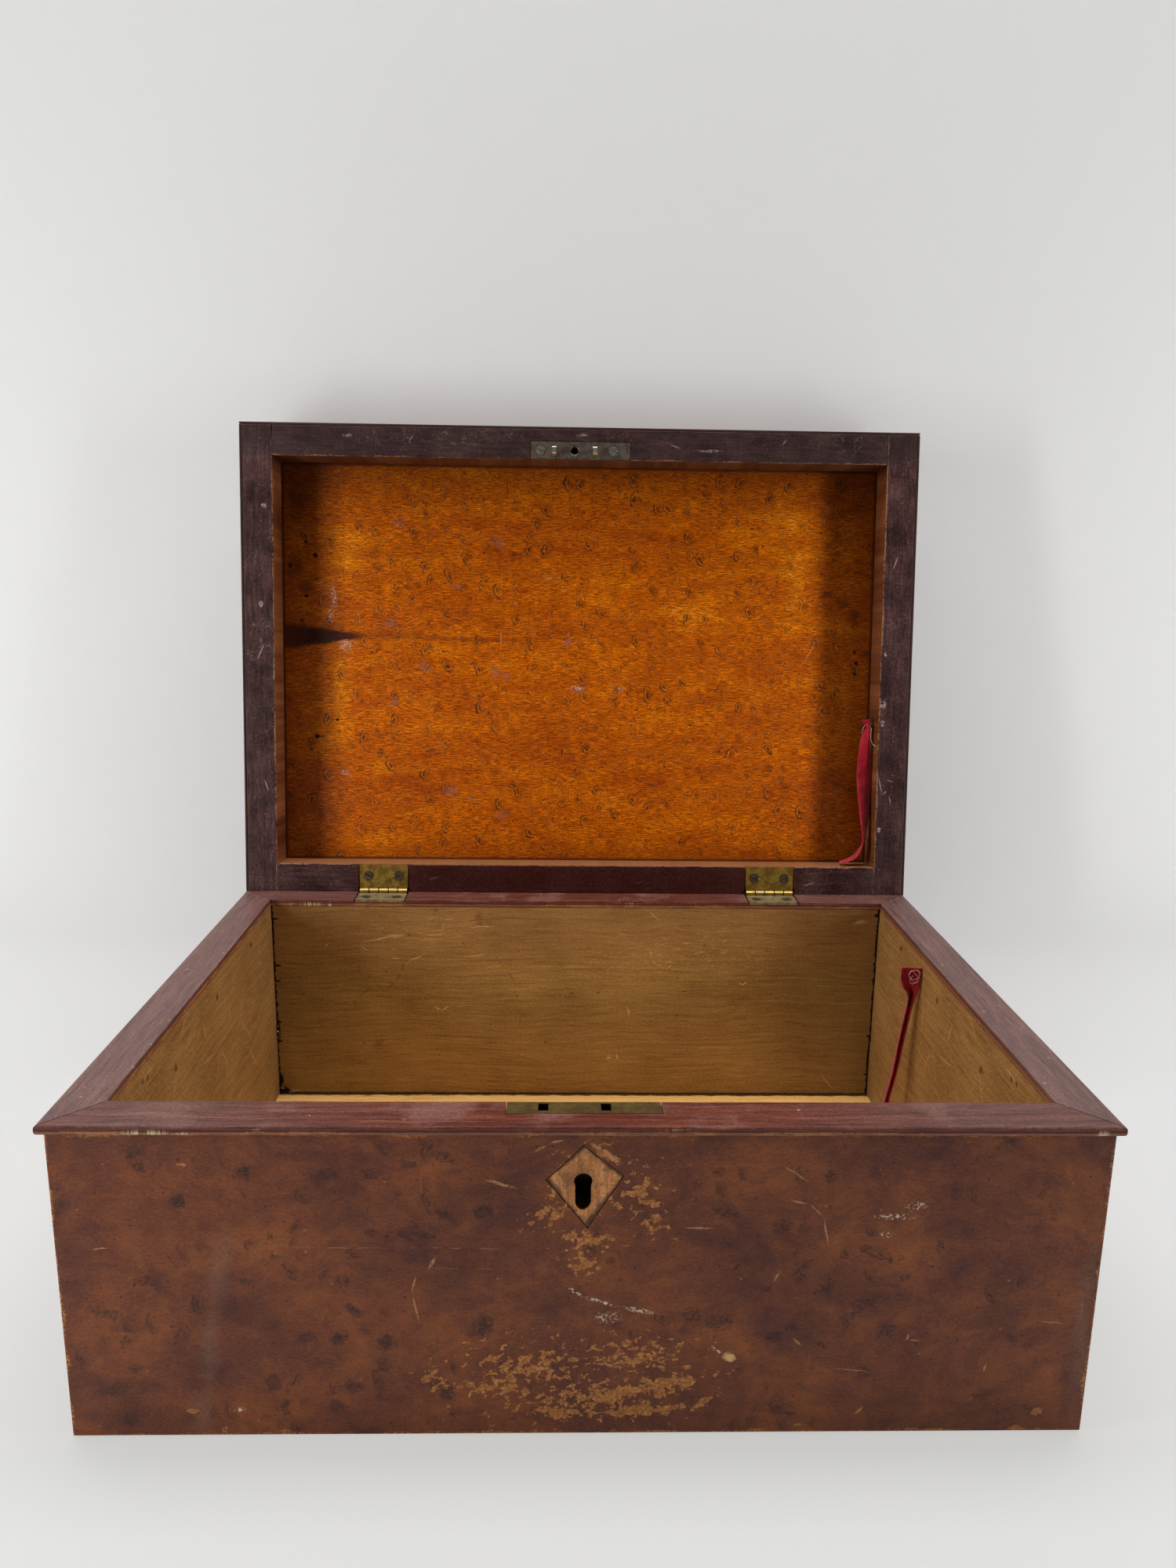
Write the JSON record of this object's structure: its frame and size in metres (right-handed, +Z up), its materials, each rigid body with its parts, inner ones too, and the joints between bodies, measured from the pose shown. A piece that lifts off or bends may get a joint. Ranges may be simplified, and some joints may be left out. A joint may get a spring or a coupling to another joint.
{
  "type": "document box",
  "caption": "Wooden document box with a deep base, a mitred rim, a recessed lid on butt hinges that stands open, a kite keyhole escutcheon, a link-plate box lock and a torn ribbon stay.",
  "frame": {"origin": "middle of the underside of the base, on the plane that the box stands on", "axes": "+X to the right seen from the front, +Y from the front to the back, +Z up; the lid is at rest standing open, leaning back"},
  "size_m": [0.35, 0.3, 0.3572],
  "materials": {
    "stained_maple": "worn red-brown varnish over figured veneer",
    "rim_mahogany": "thin worn varnish",
    "carcass_wood": "bare planed wood",
    "lid_frame_wood": "dark worn varnish",
    "lid_panel_maple": "glossy amber varnish",
    "escutcheon_wood": "worn varnish",
    "hinge_brass": "tarnished",
    "lock_brass": "dull, tarnished",
    "bright_steel": "bare",
    "dark_steel": "darkened with age",
    "ribbon_cloth": "woven, creased"
  },
  "bodies": {
    "base": {"back_veneer": "stained_maple", "base_back_board": "carcass_wood", "base_bottom_board": "carcass_wood", "base_front_board": "carcass_wood", "base_left_board": "carcass_wood", "base_ribbon": "ribbon_cloth", "base_ribbon_tack": "dark_steel", "base_right_board": "carcass_wood", "front_veneer": "stained_maple", "hinge_left_base_leaf": "hinge_brass", "hinge_left_base_screw_1": "dark_steel", "hinge_left_base_screw_2": "dark_steel", "hinge_left_pin": "hinge_brass", "hinge_right_base_leaf": "hinge_brass", "hinge_right_base_screw_1": "dark_steel", "hinge_right_base_screw_2": "dark_steel", "hinge_right_pin": "hinge_brass", "keyhole_escutcheon": "escutcheon_wood", "left_veneer": "stained_maple", "lock_cap": "lock_brass", "lock_case": "lock_brass", "lock_drill_pin": "dark_steel", "lock_screw_1": "dark_steel", "lock_screw_2": "dark_steel", "right_veneer": "stained_maple", "rim_back": "rim_mahogany", "rim_front": "rim_mahogany", "rim_left": "rim_mahogany", "rim_right": "rim_mahogany"},
    "lid": {"hinge_left_lid_leaf": "hinge_brass", "hinge_left_lid_screw_1": "dark_steel", "hinge_left_lid_screw_2": "dark_steel", "hinge_right_lid_leaf": "hinge_brass", "hinge_right_lid_screw_1": "dark_steel", "hinge_right_lid_screw_2": "dark_steel", "lid_back_rail": "lid_frame_wood", "lid_back_veneer": "stained_maple", "lid_front_rail": "lid_frame_wood", "lid_front_veneer": "stained_maple", "lid_left_stile": "lid_frame_wood", "lid_left_veneer": "stained_maple", "lid_ribbon": "ribbon_cloth", "lid_ribbon_tack": "dark_steel", "lid_right_stile": "lid_frame_wood", "lid_right_veneer": "stained_maple", "lid_top_board": "lid_panel_maple", "lid_top_veneer": "stained_maple", "link_plate": "lock_brass", "link_plate_screw_1": "lock_brass", "link_plate_screw_2": "lock_brass", "link_staple_left": "bright_steel", "link_staple_right": "bright_steel"},
    "bolt": {"lock_bolt": "dark_steel", "bolt_spring": "bright_steel"}
  },
  "joints": [
    {"name": "lid_hinge", "type": "hinge", "parent": "base", "child": "lid", "pos_m": [0, 0.12, 0.11715], "axis": [1, 0, 0], "range_deg": [0, 97.25]},
    {"name": "lock_bolt_slide", "type": "slide", "parent": "base", "child": "bolt", "axis": [-1, 0, 0], "range_m": [0, 0.005]}
  ]
}
